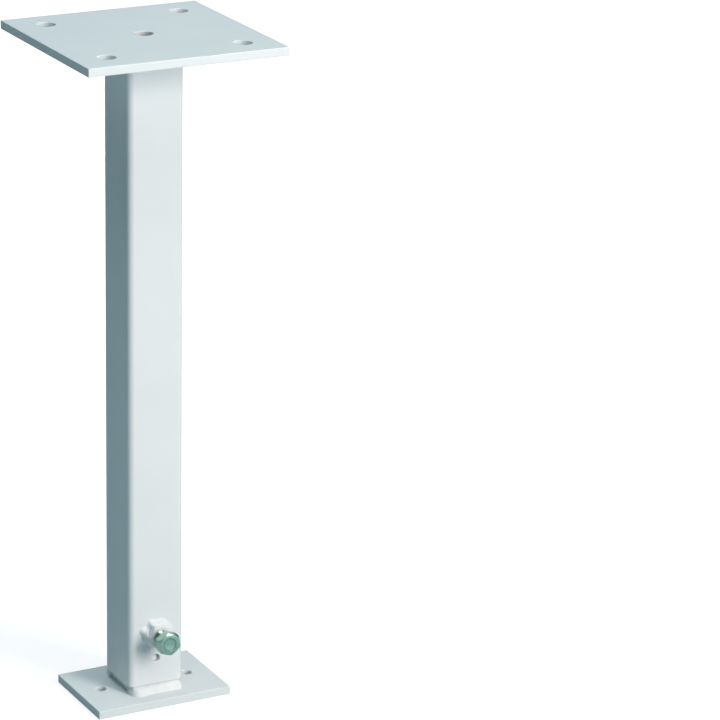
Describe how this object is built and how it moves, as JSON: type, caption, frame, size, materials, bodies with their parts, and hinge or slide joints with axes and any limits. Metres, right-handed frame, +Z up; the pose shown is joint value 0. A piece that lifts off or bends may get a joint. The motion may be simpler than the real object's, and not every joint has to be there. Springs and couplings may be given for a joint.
{
  "type": "raised floor pedestal",
  "caption": "Height-adjustable steel pedestal: a square tube under a drilled top plate slides over an inner tube on a base plate and is held by a clamp screw.",
  "frame": {"origin": "centre of the base plate's underside, on the floor and on the tubes' axis", "axes": "+Z up along the tubes, -Y out of the face that carries the clamp screw, +X to the right when facing that screw"},
  "size_m": [0.122, 0.122, 0.4],
  "materials": {
    "powder_coat": "satin white powder coating over welded steel",
    "zinc": "bright zinc plating with a faint green tint"
  },
  "bodies": {
    "foot": {"base_plate": "powder_coat", "foot_weld_front": "powder_coat", "foot_weld_back": "powder_coat", "inner_tube": "powder_coat"},
    "post": {"outer_tube": "powder_coat", "top_plate": "powder_coat", "top_weld": "powder_coat", "weld_nut": "powder_coat", "nut_weld": "powder_coat"},
    "screw": {"clamp_screw": "zinc"}
  },
  "joints": [
    {"name": "height_slide", "type": "slide", "parent": "foot", "child": "post", "axis": [0, 0, 1], "range_m": [0, 0.25]},
    {"name": "clamp_turn", "type": "hinge", "parent": "post", "child": "screw", "pos_m": [0, -0.0244, 0.0421], "axis": [0, -1, 0], "continuous": true}
  ]
}
